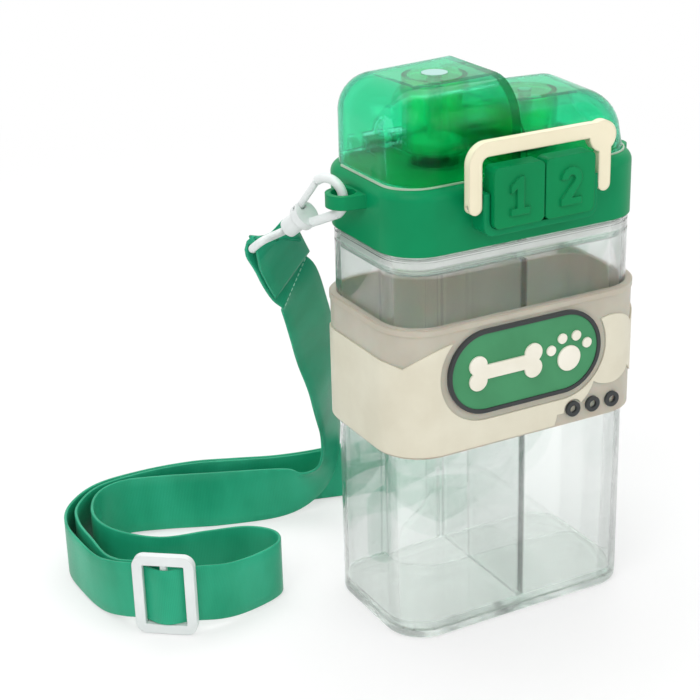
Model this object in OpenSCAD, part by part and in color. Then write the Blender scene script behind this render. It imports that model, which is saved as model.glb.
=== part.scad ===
// Two-compartment travel water bottle for a dog: a clear divided tank in a rubber sleeve, a lid
// with a sprung cover over each spout, two release buttons, a locking bail and a shoulder strap.
// +X is the bottle's right, -Y its front, +Z up, and the origin is the centre of the tank's base.

/* [Tank] */
// Width of the tank
tank_w = 105; // [104:0.5:106]
// Depth of the tank
tank_d = 62; // [61:0.5:62.5]
// Radius of the tank's upright corners
tank_corner = 15.5; // [15:0.5:16]
// Thickness of the tank's wall
tank_wall = 2.4; // [2.2:0.1:2.5]
// Thickness of the wall between the two compartments
divider_t = 2.6; // [2:0.1:3]
// Thickness of the base plate
base_t = 3.5; // [3:0.5:4]

/* [Sleeve] */
// Height of the sleeve's lower edge
sleeve_z = 78; // [70:1:85]
// Height of the sleeve
sleeve_h = 51; // [50:1:54]
// Thickness of the sleeve
sleeve_t = 2.2; // [1.8:0.1:2.4]
// Width of the badge
badge_w = 67; // [60:1:70]
// Height of the badge
badge_h = 33; // [30:1:35]

/* [Lid] */
// Thickness of the collar's wall
collar_wall = 2.4; // [2.2:0.1:2.4]
// Radius of the collar's top edge
collar_edge = 4; // [3:0.5:4]
// Thickness of the deck under the covers
deck_t = 3; // [2.5:0.5:3.5]
// Distance of each spout from the middle
spout_x = 19.4; // [19:0.1:19.6]
// Bore radius of a spout
spout_bore = 6.5; // [5:0.5:7]

/* [Covers] */
// Height of the left cover above the deck
left_dome_h = 33; // [31:1:34]
// Height of the right cover above the deck
right_dome_h = 22; // [22:1:24]
// Thickness of a cover's wall
dome_wall = 2.2; // [2:0.1:2.4]

/* [Hooks] */
// Tilt of the left hook from upright
left_tilt = 51.2; // [50:0.2:52]
// Heading of the left hook's loop
left_heading = -64.5; // [-66:0.5:-63]
// Tilt of the right hook from upright
right_tilt = 58; // [56:0.5:60]
// Heading of the right hook's loop
right_heading = -100; // [-102:0.5:-98]
// How far the left hook hangs down from the middle of its lug
left_drop = 1.4; // [1:0.1:1.5]
// How far the right hook hangs down from the middle of its lug
right_drop = 1.2; // [0.8:0.1:1.3]

/* [Strap] */
// Width of the webbing
strap_w = 24; // [23:0.5:24]
// Thickness of the webbing
strap_t = 1.2; // [1:0.1:1.4]

/* [Hidden] */

FINE = 64;
HULL_FINE = 36;
CUT = 1;

// Levels of the tank
rim_z = 155.7;
pad_z = base_t + 2.7;
divider_top = rim_z - 9;
base_edge = 1.5;
inner_w = tank_w - 2 * tank_wall;
inner_d = tank_d - 2 * tank_wall;
inner_corner = tank_corner - tank_wall;
front_y = -tank_d / 2;

// Sleeve
sleeve_top = sleeve_z + sleeve_h;
sleeve_gap = 0.05;
sleeve_front = front_y - sleeve_gap - sleeve_t;
relief = 0.6;
badge_x = -2;
badge_z = sleeve_z + 30.5;
dot_r = 3.1;
dot_end = 14.5;
dot_step = 9;

// Lid
collar_w = tank_w + 1.4;
collar_d = tank_d + 1.4;
collar_corner = tank_corner + 0.7;
collar_front = -collar_d / 2;
deck_z = rim_z + 23.8;
deck_under = deck_z - deck_t;
spout_y = 1.1;
spout_r = spout_bore + 2.5;
spout_top = deck_z + 4.2;
deck_gap = 0.3;
stem_hole_r = 2.7;
socket_skin = 1;
hinge_y = collar_d / 2 - 5.9;
hinge_z = deck_z + 3.2;
hinge_in = 6;
hinge_out = 34;
pin_r = 1.25;
ear_r = 2.9;
ear_t = 4;
knuckles = [hinge_in + ear_t + 0.5, hinge_out - 2 * ear_t - 0.5];
lug_root = collar_w / 2 - 1.7;
lug_root_half = 8;
lug_x = collar_w / 2 + 5;
lug_z = rim_z + 16.3;
lug_t = 5;
lug_r = 6.7;
lug_lean = 0.9;
eye_r = 4.6;

// Button housing and buttons
button_in = 0.3;
button_out = 21.2;
button_x = (button_in + button_out) / 2;
button_low = rim_z + 9.4;
button_high = rim_z + 31.6;
button_z = (button_low + button_high) / 2;
button_front = collar_front - 10.2;
button_back = collar_front - 3.6;
button_wall = 1.5;
button_corner = 2.2;
button_stroke = 2.2;
housing_wall = 2.4;
housing_corner = 4;
housing_half = button_out + 0.4 + housing_wall;
housing_low = button_low - 0.6 - housing_wall;
housing_high = rim_z + 22.3;
housing_front = collar_front - 8;
guide_z = rim_z + 14.3;
guide_r = 1.4;
guide_end = collar_front + 3.4;

// Bail
bail_y = collar_front - 5.9;
bail_z = rim_z + 17.7;
bail_bar = 5.2;
bail_in = housing_half + 0.6;
bail_out = bail_in + bail_bar;
bail_depth = 3.4;
bail_top = bail_z + 23;
bail_corner = 8;
bail_pin_r = 1;
thumb_x = bail_in + 1.6;
thumb_z = bail_top - 5.2;
thumb_r = 5.7;

// Hooks: the loop's radius, the wire's radius and the lengths along the hook's own axis
loop_r = 7.1;
wire_r = 1.8;
neck_x = 3.4;
neck_z = -14;
gate_x = -3.7;
gate_z = -13.9;
barrel_r = 3.7;
barrel_low = -24;
stem_r = 1.55;
stem_head_r = 2.6;
ring_bar_r = 1.5;
ring_near = -26;
ring_far = -34;
ring_half = 13.7;
eye_x = lug_x - 1;

// Slider
slider_at = [-127.5, 25.5, 17.4];
slider_turn = 143.13;
slider_w = 24.5;
slider_h = 34;
slider_bar = 4;
slider_t = 3.2;

// Stations of the webbing, in order: a point on its middle line, then the direction of its width.
// The tail sewn round the left ring comes first, then the single part down to the slider.
UP = [0, 0, 1];
LEFT_W = [-0.90, -0.43, 0];
tail_route = [
    [[-62.5, 36, 133], LEFT_W],
    [[-68.5, 31.4, 143], LEFT_W],
    [[-71.9, 28.7, 149.8], LEFT_W],
    [[-72.2, 29.3, 151.6], LEFT_W],
    [[-72.9, 30.9, 152.4], LEFT_W],
    [[-73.7, 32.5, 151.6], LEFT_W],
    [[-74, 33.2, 149.8], LEFT_W]];
hanging_route = [
    [[-70, 34.6, 142.5], LEFT_W],
    [[-63.5, 38, 132], [-0.90, -0.42, -0.12]],
    [[-58, 40, 125], [-0.90, -0.42, -0.12]],
    [[-50, 48, 107], [-0.90, -0.42, -0.12]],
    [[-42, 58, 89], [-0.88, -0.46, -0.10]],
    [[-35.5, 65, 72], [-0.82, -0.56, -0.10]],
    [[-29.7, 74, 54], [-0.72, -0.69, -0.08]],
    [[-27.2, 77.4, 41], [-0.72, -0.70, -0.04]],
    [[-27, 78, 32], [-0.68, -0.72, 0.13]],
    [[-27.8, 80, 26], [-0.60, -0.69, 0.39]],
    [[-31, 82, 20], [-0.40, -0.51, 0.75]],
    [[-35, 85.5, 13.5], [-0.25, -0.28, 0.93]]];
floor_route = [
    [[-42, 86, 12.5], UP],
    [[-55, 89.3, 12.5], UP],
    [[-75, 97, 12.5], UP],
    [[-96, 106, 12.5], UP],
    [[-112, 110.5, 12.5], UP],
    [[-125, 106, 12.5], UP],
    [[-132.5, 90, 12.5], UP],
    [[-130, 73, 12.5], UP],
    [[-116.5, 57, 12.5], UP],
    [[-98, 52, 12.5], UP],
    [[-82, 47, 12.5], UP],
    [[-74.3, 38, 12.5], UP],
    [[-77, 29, 12.5], UP],
    [[-90, 24, 12.5], UP],
    [[-104, 20.5, 14.3], UP],
    [[-117.8, 21.4, 16.7], UP],
    [[-128.6, 24, 16.7], UP],
    [[-134.2, 33.6, 16.7], UP]];
// The doubled part, from the slider up to the right ring. The third value is how far the second
// layer lies behind the first.
doubled_route = [
    [[-140.2, 43.6, 14.6], UP, 2],
    [[-143.8, 55, 12.5], UP, 3.5],
    [[-145.5, 70, 12.5], UP, 5],
    [[-145, 88, 12.5], UP, 5],
    [[-138, 103, 12.5], UP, 3.5],
    [[-122, 115, 12.5], UP, 2.2],
    [[-100, 117, 12.5], UP, 1.8],
    [[-78, 114, 12.5], UP, 1.8],
    [[-60, 107, 12.5], UP, 1.8],
    [[-43, 100, 12.5], UP, 1.8],
    [[-24, 96, 12.5], UP, 1.8],
    [[-6, 93, 12.2], [0.10, 0.30, 0.95], 1.8],
    [[10, 88, 12], [0.35, 0.70, 0.62], 1.8],
    [[22, 80, 15], [0.55, 0.80, 0.25], 1.8],
    [[33, 71, 22], [0.65, 0.75, 0.05], 1.8],
    [[43, 63, 37], [0.75, 0.65, 0], 1.8],
    [[50, 56, 62], [0.85, 0.50, 0], 1.8],
    [[55, 49, 90], [0.95, 0.30, 0], 1.8],
    [[58, 43, 118], [1, 0, 0], 1.8],
    [[62, 37.5, 138], [1, -0.10, 0], 1.8],
    [[63.8, 34.4, 148.5], [1, -0.17, 0], 4]];
RIGHT_W = [0.98, -0.17, 0];
wrap_route = [
    [[64.2, 33.8, 153.5], RIGHT_W],
    [[64.6, 36.1, 155.8], RIGHT_W]];
return_top = [
    [[64.6, 36.1, 155.8], RIGHT_W],
    [[65, 38.4, 153.5], RIGHT_W]];
return_end = [
    [[-133.5, 35.8, 16.7], UP],
    [[-126.3, 27.1, 16.7], UP]];

// Springs
dome_spring_r = 2.3;
dome_wire = 0.7;
dome_spring_x = knuckles[0] + ear_t + 0.7;
dome_spring_len = knuckles[1] - dome_spring_x - 0.7;
dome_leg = 9;
dome_spring_steps = 43;
button_wire = 0.5;
button_spring_r = guide_z - button_low - button_wall - button_wire / 2 - 0.35;
button_spring_turns = 4;
button_spring_seat = collar_front - 0.3 - button_wire / 2;
button_spring_end = button_front + button_wall + button_stroke + 0.3 + button_wire / 2;
button_spring_pitch = (button_spring_seat - button_spring_end) / button_spring_turns;
CURL_STEPS = 8;

function unit(v) = v / norm(v);

// Direction of a path at point i
function tangent(path, i) =
    unit(path[min(i + 1, len(path) - 1)] - path[max(i - 1, 0)]);

// Triangles that join rings of n points each into one closed skin. The far half of each ring splits
// the other way, so that the two faces of a flat strip stay side by side where it twists.
function skin_faces(rings, n) = concat(
    [for (k = [1:n - 2]) [0, k, k + 1]],
    [for (k = [1:n - 2]) let(o = (rings - 1) * n) [o, o + k + 1, o + k]],
    [for (i = [0:rings - 2], k = [0:n - 1], side = [0, 1])
        let(a = i * n + k, b = i * n + (k + 1) % n)
        2 * k < n ? (side == 0 ? [a, a + n, b] : [b, a + n, b + n])
            : (side == 0 ? [a, a + n, b + n] : [a, b + n, b])]);

// Corners of the webbing's section: a flat strip with softened edges
function strap_section(w, t) = [
    [w / 2, t / 4], [w / 2 - t / 2, t / 2], [t / 2 - w / 2, t / 2], [-w / 2, t / 4],
    [-w / 2, -t / 4], [t / 2 - w / 2, -t / 2], [w / 2 - t / 2, -t / 2], [w / 2, -t / 4]];

// Normal of the webbing at station i
function strap_normal(route, path, i) = unit(cross(tangent(path, i), route[i][1]));

function strap_ring(route, path, i, section) =
    let(t = tangent(path, i), n = strap_normal(route, path, i), across = unit(cross(n, t)))
    [for (p = section) path[i] + across * p[0] + n * p[1]];

module webbing(route) {
    path = [for (s = route) s[0]];
    section = strap_section(strap_w, strap_t);
    points = [for (i = [0:len(path) - 1]) each strap_ring(route, path, i, section)];
    polyhedron(points, skin_faces(len(path), len(section)), convexity = 10);
}

// Frame of a thin wire at point i: two directions square to it, kept from jumping by the hint
function wire_ring(path, i, r, hint, sides) =
    let(t = tangent(path, i), u = unit(cross(t, hint)), v = cross(t, u))
    [for (k = [0:sides - 1]) let(a = 360 * k / sides)
        path[i] + r * (u * cos(a) - v * sin(a))];

module wire(path, d, hint) {
    sides = 6;
    points = [for (i = [0:len(path) - 1]) each wire_ring(path, i, d / 2, hint, sides)];
    polyhedron(points, skin_faces(len(path), sides), convexity = 10);
}

// Least clear distance between one turn of a wound path and the next
function least_gap(path, first, last, d) =
    min([for (i = [first:last - CURL_STEPS], j = [i + CURL_STEPS - 1:min(i + CURL_STEPS + 1, last)])
        norm(path[i] - path[j]) - d]);

// A rounded rectangle of straight sides and true arcs
module rounded_rect(w, d, r) {
    union() {
        square([w, d - 2 * r], center = true);
        square([w - 2 * r, d], center = true);
        for (x = [-1, 1], y = [-1, 1])
            translate([x * (w / 2 - r), y * (d / 2 - r)]) circle(r = r, $fn = FINE);
    }
}

module block(w, d, r, low, high) {
    translate([0, 0, low]) linear_extrude(high - low) rounded_rect(w, d, r);
}

// A wall that follows a rounded rectangle, inside its outline
module wall(w, d, r, t, low, high) {
    difference() {
        block(w, d, r, low, high);
        block(w - 2 * t, d - 2 * t, r - t, low - CUT, high + CUT);
    }
}

// Carries a profile round a rounded rectangle. The profile's x is measured from the corner centres.
module swept_round(w, d, r) {
    turns = [[1, 1, 0], [-1, 1, 90], [-1, -1, 180], [1, -1, 270]];
    for (c = turns)
        translate([c[0] * (w / 2 - r), c[1] * (d / 2 - r), 0])
            rotate([0, 0, c[2]]) rotate_extrude(angle = 90, $fn = FINE) children();
    for (s = [0, 180]) {
        rotate([0, 0, s]) translate([w / 2 - r, 0, 0])
            rotate([90, 0, 0]) linear_extrude(d - 2 * r, center = true) children();
        rotate([0, 0, s]) translate([0, d / 2 - r, 0])
            rotate([90, 0, 90]) linear_extrude(w - 2 * r, center = true) children();
    }
}

// A round bar between two points
module rod(a, b, r) {
    v = b - a;
    translate(a) rotate([0, acos(v[2] / norm(v)), atan2(v[1], v[0])])
        cylinder(h = norm(v), r = r, $fn = FINE);
}

// A round bar along X, between two distances from the middle, on the given side
module cross_bar(side, from, to, r, y, z) {
    translate([side > 0 ? from : -to, y, z]) rotate([0, 90, 0])
        cylinder(h = to - from, r = r, $fn = FINE);
}

module mirrored(side) {
    mirror([side > 0 ? 0 : 1, 0, 0]) children();
}

// Puts something drawn in X and Z on the front, from one depth to a nearer one
module front_plate(back, front) {
    translate([0, back, 0]) rotate([90, 0, 0]) linear_extrude(back - front) children();
}

module tank_base() {
    color("#E4F1EC", 0.5) {
        block(tank_w - 2 * base_edge, tank_d - 2 * base_edge, tank_corner - base_edge, 0, base_t);
        swept_round(tank_w, tank_d, tank_corner) base_rim();
        block(inner_w - 0.2, inner_d - 0.2, inner_corner - 0.1, base_t - 0.5, pad_z);
    }
}

module base_rim() {
    union() {
        translate([tank_corner - 5, 0]) square([5 - base_edge, base_t]);
        translate([tank_corner - base_edge, base_edge]) square([base_edge, base_t - base_edge]);
        intersection() {
            translate([tank_corner - base_edge, base_edge]) circle(r = base_edge, $fn = FINE);
            translate([tank_corner - base_edge, 0]) square(base_edge);
        }
    }
}

module tank_shell() {
    groove_d = 0.4;
    color("#E4F1EC", 0.4) {
        difference() {
            wall(tank_w, tank_d, tank_corner, tank_wall, base_t, rim_z);
            for (z = [rim_z - 6.1, rim_z - 2.4])
                wall(tank_w + 2, tank_d + 2, tank_corner + 1, 1 + groove_d, z, z + 0.8);
        }
        translate([-divider_t / 2, -inner_d / 2 - 0.3, pad_z])
            cube([divider_t, inner_d + 0.6, divider_top - pad_z]);
    }
}

module sleeve_band() {
    grow = 2 * (sleeve_t + sleeve_gap);
    color("#B5AC9E") {
        wall(tank_w + grow, tank_d + grow, tank_corner + grow / 2, sleeve_t, sleeve_z, sleeve_top);
        wall(tank_w + grow + 0.8, tank_d + grow + 0.8, tank_corner + grow / 2 + 0.4,
            sleeve_t, sleeve_top - 2.6, sleeve_top - 0.4);
    }
}

// The skin that raised shapes on the sleeve are cut from
module relief_skin(high) {
    grow = 2 * (sleeve_t + sleeve_gap);
    wall(tank_w + grow + 2 * high, tank_d + grow + 2 * high, tank_corner + grow / 2 + high,
        high, sleeve_z + 0.8, sleeve_top - 3.4);
}

// Rolling clouds that run right round the sleeve, cut back round the badge and the studs
module sleeve_panels() {
    color("#DDD8C4") intersection() {
        relief_skin(relief);
        difference() {
            front_plate(tank_d, -tank_d) clouds();
            front_plate(0, -tank_d) union() {
                offset_badge(3);
                at_dots() circle(r = dot_r + 0.9, $fn = FINE);
            }
        }
    }
}

// Each cloud's place along the sleeve, its height over the lower edge and its radius
module clouds() {
    for (c = [[-61, 14, 24], [-31, 17, 27], [-6, 8, 19], [15, 20, 15], [37, 27, 14], [60, 25, 15]])
        translate([c[0], sleeve_z + c[1]]) circle(r = c[2], $fn = FINE);
}

module offset_badge(more) {
    translate([badge_x, badge_z])
        rounded_rect(badge_w + 2 * more, badge_h + 2 * more, badge_h / 2 + more - 0.1);
}

module badge_plaque() {
    color("#368C5A") front_plate(sleeve_front, sleeve_front - 1) offset_badge(-1.6);
}

module badge_outline() {
    color("#23282A") front_plate(sleeve_front, sleeve_front - 1.4) difference() {
        offset_badge(0);
        offset_badge(-1.55);
    }
}

module badge_motif() {
    color("#EAE6D6") front_plate(sleeve_front - 1, sleeve_front - 1.7) {
        translate([badge_x - 9, badge_z]) bone();
        translate([badge_x + 19, badge_z]) paw();
    }
}

module bone() {
    knob_x = 12;
    union() {
        square([2 * knob_x, 5.6], center = true);
        for (x = [-knob_x, knob_x], y = [-3, 3]) translate([x, y]) circle(r = 3.8, $fn = FINE);
    }
}

module paw() {
    translate([0, -2.6]) circle(r = 5, $fn = FINE);
    for (a = [-57, -19, 19, 57])
        translate([9.6 * sin(a), 9.6 * cos(a) - 3.2]) circle(r = 2, $fn = FINE);
}

module sleeve_dots() {
    color("#23282A") front_plate(sleeve_front, sleeve_front - 1.2) at_dots() difference() {
        circle(r = dot_r, $fn = FINE);
        circle(r = dot_r - 1.6, $fn = FINE);
    }
}

module at_dots() {
    for (k = [0:2]) translate([tank_w / 2 - dot_end - dot_step * k, sleeve_z + 6]) children();
}

module lid_collar() {
    color("#0B9A5E") difference() {
        union() {
            collar_skin();
            for (side = [-1, 1]) mirrored(side) collar_side();
            housing();
        }
        for (side = [-1, 1]) mirrored(side) collar_bores();
    }
}

// Wall and deck, with the rounded top edge
module collar_skin() {
    difference() {
        union() {
            block(collar_w - 2 * collar_edge, collar_d - 2 * collar_edge,
                collar_corner - collar_edge, rim_z, deck_z);
            swept_round(collar_w, collar_d, collar_corner) collar_rim();
        }
        block(collar_w - 2 * collar_wall, collar_d - 2 * collar_wall,
            collar_corner - collar_wall, rim_z - CUT, deck_under);
    }
}

module collar_rim() {
    edge_x = collar_corner - collar_edge;
    union() {
        translate([edge_x - 3, rim_z]) square([3, deck_z - rim_z]);
        translate([edge_x, rim_z]) square([collar_edge, deck_z - collar_edge - rim_z]);
        intersection() {
            translate([edge_x, deck_z - collar_edge]) circle(r = collar_edge, $fn = FINE);
            translate([edge_x, deck_z - collar_edge]) square(collar_edge);
        }
    }
}

// Strap lug, hinge ears and bail boss of one side
module collar_side() {
    flank = sqrt(lug_r * lug_r - lug_lean * lug_lean);
    translate([0, 0, lug_z - lug_t / 2]) linear_extrude(lug_t) union() {
        translate([lug_x, 0]) circle(r = lug_r, $fn = FINE);
        polygon([[lug_root, -lug_root_half], [lug_x + lug_lean, -flank], [lug_x + lug_lean, flank],
            [lug_root, lug_root_half]]);
    }
    for (x = [hinge_in, hinge_out - ear_t]) {
        cross_bar(1, x, x + ear_t, ear_r, hinge_y, hinge_z);
        translate([x, hinge_y - ear_r, deck_z - 1]) cube([ear_t, 2 * ear_r, hinge_z - deck_z + 1]);
    }
    cross_bar(1, housing_half - 0.5, bail_in - 0.25, 2, bail_y, bail_z);
}

module collar_bores() {
    translate([spout_x, spout_y, deck_under - CUT])
        cylinder(h = deck_t + 2 * CUT, r = spout_r + 0.3, $fn = FINE);
    cross_bar(1, hinge_in - CUT, hinge_out + CUT, pin_r + 0.02, hinge_y, hinge_z);
    cross_bar(1, housing_half - housing_wall - 0.5, bail_in, bail_pin_r + 0.02, bail_y, bail_z);
    translate([lug_x, 0, lug_z - lug_t]) cylinder(h = 2 * lug_t, r = eye_r, $fn = FINE);
    translate([button_x, collar_front + 4, guide_z]) rotate([90, 0, 0])
        cylinder(h = 6, r = guide_r + 0.05, $fn = FINE);
}

// Open-topped frame round the two buttons
module housing() {
    front_plate(collar_front + 1, housing_front) difference() {
        housing_outline(housing_half, housing_low, housing_high, housing_corner);
        housing_outline(housing_half - housing_wall, housing_low + housing_wall, housing_high + CUT,
            housing_corner - 0.5);
    }
}

module housing_outline(half, low, high, r) {
    union() {
        translate([-half, low + r]) square([2 * half, high - low - r]);
        translate([r - half, low]) square([2 * (half - r), r + CUT]);
        for (x = [r - half, half - r]) translate([x, low + r]) circle(r = r, $fn = FINE);
    }
}

module lid_insert() {
    plate_top = rim_z + 2.5;
    plug_low = rim_z - 8.2;
    color("#D9E6E0") difference() {
        union() {
            block(inner_w + 1.2, inner_d + 1.2, inner_corner + 0.6, rim_z, plate_top);
            wall(inner_w - 1.2, inner_d - 1.2, inner_corner - 0.6, 2, plug_low, rim_z + 0.5);
            translate([-2, 1.6 - inner_d / 2, plug_low + 2]) cube([4, inner_d - 3.2, 7]);
            for (x = [-spout_x, spout_x]) translate([x, spout_y, rim_z])
                cylinder(h = spout_top - rim_z, r = spout_r, $fn = FINE);
        }
        gasket_ring(0, plug_low + 2.5, plug_low + 6.3, 2);
        for (x = [-spout_x, spout_x]) translate([x, spout_y, rim_z - CUT])
            cylinder(h = spout_top - rim_z + 2 * CUT, r = spout_bore, $fn = FINE);
    }
}

// A ring in the groove of the plug wall, clear of the groove's floor by the given gap
module gasket_ring(gap, low, high, t) {
    w = inner_w - 3.2 + 2 * gap;
    d = inner_d - 3.2 + 2 * gap;
    wall(w + 2 * t, d + 2 * t, inner_corner - 1.6 + gap + t, t, low, high);
}

module lid_gasket() {
    color("#F2F4F1") gasket_ring(0.1, rim_z - 5.6, rim_z - 2, 1.15);
}

module divider_seal() {
    length = inner_d - 5.6;
    color("#F2F4F1") translate([-2, -length / 2, divider_top + 0.3]) cube([4, length, 2.5]);
}

module hinge_pin(side) {
    color("#C9CED2") cross_bar(side, hinge_in + 0.1, hinge_out - 0.1, pin_r, hinge_y, hinge_z);
}

function dome_spring_path() =
    let(step = dome_spring_len / dome_spring_steps,
        coil = [for (i = [0:dome_spring_steps]) let(a = 45 - 45 * i)
            [dome_spring_x + step * i, hinge_y + dome_spring_r * cos(a),
                hinge_z + dome_spring_r * sin(a)]],
        first = coil[0], last = coil[dome_spring_steps])
    concat([first + dome_leg * [0, -sin(45), cos(45)]], coil, [last + [0, -dome_leg, 0]]);

module dome_spring(side) {
    path = dome_spring_path();
    echo(least_gap_of_cover_spring = least_gap(path, 1, len(path) - 2, dome_wire));
    color("#C9CED2") mirrored(side) wire(path, dome_wire, [1, 0, 0]);
}

function button_spring_path() =
    [for (i = [0:button_spring_turns * CURL_STEPS]) let(a = 360 * i / CURL_STEPS)
        [button_x + button_spring_r * cos(a),
            button_spring_seat - button_spring_pitch * i / CURL_STEPS,
            guide_z + button_spring_r * sin(a)]];

module button_spring(side) {
    path = button_spring_path();
    echo(least_gap_of_button_spring = least_gap(path, 0, len(path) - 1, button_wire));
    color("#C9CED2") mirrored(side) wire(path, button_wire, [0, 1, 0]);
}

module bail_pins() {
    color("#C9CED2") for (side = [-1, 1])
        cross_bar(side, housing_half - housing_wall + 0.3, bail_out - 0.6, bail_pin_r,
            bail_y, bail_z);
}

// Solid form of a cover, drawn in by the given amount
module dome_form(high, in, low) {
    split = 1.1 + in;
    outer = collar_w / 2 - 2.7 - in;
    front = collar_front + 4.2 + in;
    back = collar_d / 2 - 3.4 - in;
    top = deck_z + high - in;
    lip_r = 16.3 - in;
    back_r = 9 - in;
    plan_r = 14 - in;
    $fn = HULL_FINE;
    hull() {
        translate([split, front + lip_r, top - lip_r]) rotate([0, 90, 0]) cylinder(h = 0.2, r = lip_r);
        translate([split, back - back_r, top - back_r]) rotate([0, 90, 0]) cylinder(h = 0.2, r = back_r);
        translate([split, front, low]) cube([0.2, back - front, 1]);
        translate([outer - lip_r, front + lip_r, top - lip_r]) sphere(r = lip_r);
        translate([outer - plan_r, back - plan_r, top - plan_r]) sphere(r = plan_r);
        for (y = [front + plan_r, back - plan_r])
            translate([outer - plan_r, y, low]) cylinder(h = 1, r = plan_r);
    }
}

// Hole and seat for the plug's stem in the left cover's top, and a blind socket under the right one's
module stem_cuts(side, top) {
    translate([spout_x, spout_y, 0]) {
        if (side < 0) {
            translate([0, 0, top - 5]) cylinder(h = 6, r = stem_hole_r, $fn = FINE);
            translate([0, 0, top - 1]) cylinder(h = 2, r = 5, $fn = FINE);
        }
        if (side > 0)
            translate([0, 0, top - 5]) cylinder(h = 5 - socket_skin, r = stem_hole_r, $fn = FINE);
    }
}

// One cover with its boss, knuckles and catch lip
module dome(side, high) {
    top = deck_z + high;
    notch_top = hinge_z + 3.8;
    color("#1DD68A", 0.7) mirrored(side) difference() {
        union() {
            difference() {
                dome_form(high, 0, deck_z + deck_gap);
                dome_form(high, dome_wall, deck_z - 3);
                translate([-CUT, -50, deck_z - 40]) cube([80, 100, 40 + deck_gap]);
                translate([hinge_in - 0.3, hinge_y - 3.2, deck_z - CUT])
                    cube([hinge_out - hinge_in + 0.6, 10, notch_top - deck_z + CUT]);
                translate([0, hinge_y, deck_z - CUT]) cube([collar_w, 10, 1.5 + CUT]);
            }
            translate([spout_x, spout_y, deck_z + 5])
                cylinder(h = high - 6, r = 12, $fn = FINE);
            for (x = knuckles) {
                cross_bar(1, x, x + ear_t, 2.8, hinge_y, hinge_z);
                translate([x, hinge_y - 0.6, hinge_z]) cube([ear_t, 2.9, 5]);
            }
            translate([1.6, collar_front + 0.2, deck_z + 0.5]) cube([button_out - 2.8, 5, 2.5]);
        }
        translate([spout_x, spout_y, deck_z + 4])
            cylinder(h = high - 4 - dome_wall, r = 10, $fn = FINE);
        stem_cuts(side, top);
        cross_bar(1, knuckles[0] - CUT, knuckles[1] + ear_t + CUT, pin_r + 0.05, hinge_y, hinge_z);
    }
}

// Soft plug that closes a spout, held by its stem in the cover
module plug(side, high) {
    top = deck_z + high;
    stem_top = side < 0 ? top - 0.5 : top - socket_skin - 0.05;
    color("#DCEBF2") translate([side * spout_x, spout_y, 0]) {
        translate([0, 0, spout_top + 0.3]) cylinder(h = 4, r = 9.8, $fn = FINE);
        translate([0, 0, spout_top + 1])
            cylinder(h = stem_top - spout_top - 1, r = stem_hole_r - 0.2, $fn = FINE);
        if (side < 0) translate([0, 0, top - 0.9]) cylinder(h = 0.9, r = 4.8, $fn = FINE);
    }
}

module button_outline(inset) {
    w = button_out - button_in - 2 * inset;
    h = button_high - button_low - 2 * inset;
    translate([button_x, button_z]) rounded_rect(w, h, button_corner - inset);
}

module button_body() {
    difference() {
        front_plate(button_back, button_front) button_outline(0);
        front_plate(button_back + CUT, button_front + button_wall) button_outline(button_wall);
    }
    translate([button_x, guide_end, guide_z]) rotate([90, 0, 0])
        cylinder(h = guide_end - button_front - 1, r = guide_r, $fn = FINE);
    translate([button_x, guide_end, guide_z]) rotate([90, 0, 0])
        cylinder(h = 0.8, r = guide_r + 0.6, $fn = FINE);
}

module left_button() {
    color("#0B9A5E") {
        mirrored(-1) button_body();
        front_plate(button_front + 0.3, button_front - 0.9)
            translate([-button_x, button_z]) numeral_one();
    }
}

module right_button() {
    color("#0B9A5E") {
        button_body();
        front_plate(button_front + 0.3, button_front - 0.9)
            translate([button_x, button_z]) numeral_two();
    }
}

module numeral_one() {
    polygon([[-0.4, 7], [-4, 4], [-4, 1.2], [-1.5, 2.8], [-1.5, -4.4], [-4, -4.4],
        [-4, -7], [4, -7], [4, -4.4], [1.5, -4.4], [1.5, 7]]);
}

module numeral_two() {
    bowl_y = 2.6;
    union() {
        intersection() {
            difference() {
                translate([0, bowl_y]) circle(r = 4.4, $fn = FINE);
                translate([0, bowl_y]) circle(r = 1.5, $fn = FINE);
            }
            polygon([[-5, bowl_y], [-5, 8], [5, 8], [5, bowl_y - 2.5], [0, bowl_y]]);
        }
        polygon([[3.94, bowl_y - 1.97], [0.1, -4.4], [4.4, -4.4], [4.4, -7], [-4.4, -7],
            [-4.4, -4.6], [1.34, bowl_y - 0.67]]);
    }
}

module bail_outline(half, top, low, r) {
    union() {
        translate([-half, low]) square([2 * half, top - r - low]);
        translate([r - half, low]) square([2 * (half - r), top - low]);
        for (x = [r - half, half - r]) translate([x, top - r]) circle(r = r, $fn = FINE);
    }
}

module bail() {
    leg_x = (bail_out + bail_in) / 2;
    leg_r = (bail_out - bail_in) / 2;
    color("#EFE6C8") difference() {
        front_plate(bail_y + bail_depth / 2, bail_y - bail_depth / 2) union() {
            difference() {
                bail_outline(bail_out, bail_top, bail_z, bail_corner);
                bail_outline(bail_in, bail_top - bail_bar, bail_z - CUT, bail_corner - bail_bar);
            }
            for (x = [-leg_x, leg_x]) translate([x, bail_z]) circle(r = leg_r, $fn = FINE);
            translate([thumb_x, thumb_z]) circle(r = thumb_r, $fn = FINE);
        }
        for (side = [-1, 1])
            cross_bar(side, bail_in - 1, bail_out + 1, bail_pin_r + 0.04, bail_y, bail_z);
    }
}

// Puts a piece drawn along a hook's own axis in its place at a lug's eye
module on_hook(side) {
    left = side < 0;
    tilt = left ? left_tilt : right_tilt;
    heading = left ? left_heading : right_heading;
    translate([side * eye_x, 0, lug_z] - loop_r * [cos(heading), sin(heading), 0])
        rotate([0, tilt, heading]) translate([0, 0, left ? -left_drop : -right_drop]) children();
}

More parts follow.
